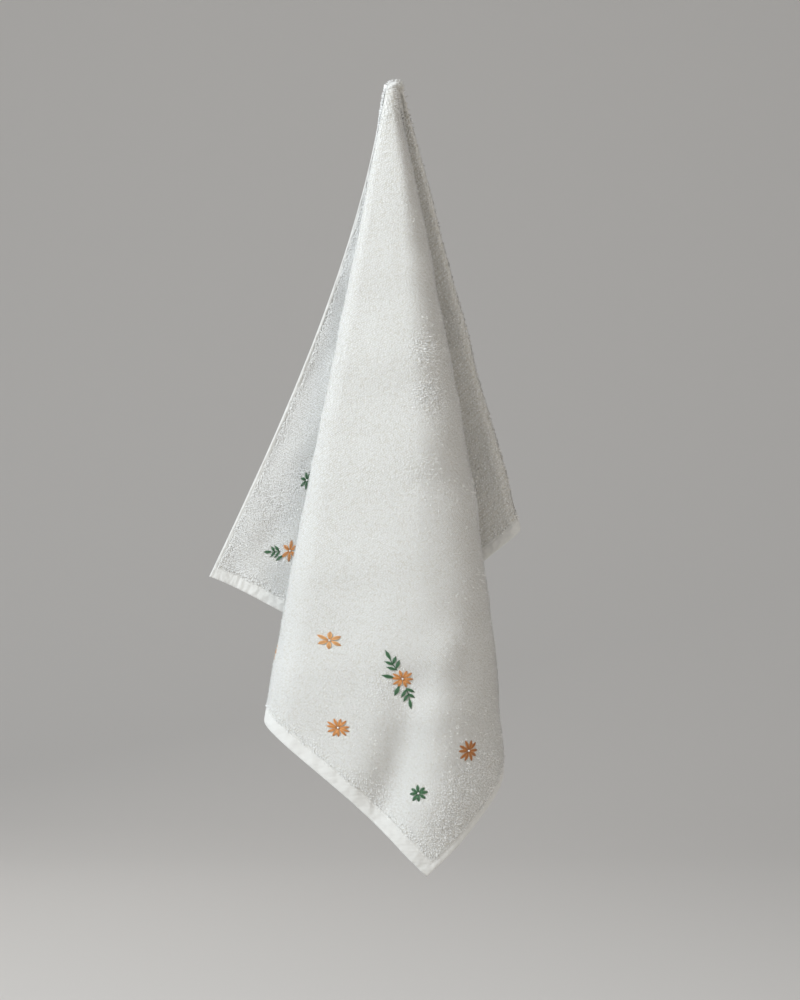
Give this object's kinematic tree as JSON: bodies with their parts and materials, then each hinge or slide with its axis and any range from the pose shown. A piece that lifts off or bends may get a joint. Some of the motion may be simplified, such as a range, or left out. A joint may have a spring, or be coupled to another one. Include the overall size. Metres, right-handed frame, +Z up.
{
  "type": "hand towel",
  "caption": "White terry hand towel with embroidered sprigs and flowers, hung from one point of a long edge so that it falls in folds.",
  "frame": {"origin": "the point of the held long edge that the towel hangs from, at the top of the bunch", "axes": "+Z up, -Y out of the front of the towel, +X to the right as seen from the front"},
  "size_m": [0.2629, 0.1241, 0.6555],
  "materials": {
    "terry": "soft white cotton pile with flat woven hems"
  },
  "bodies": {
    "root": {"towel": "terry"}
  },
  "joints": []
}
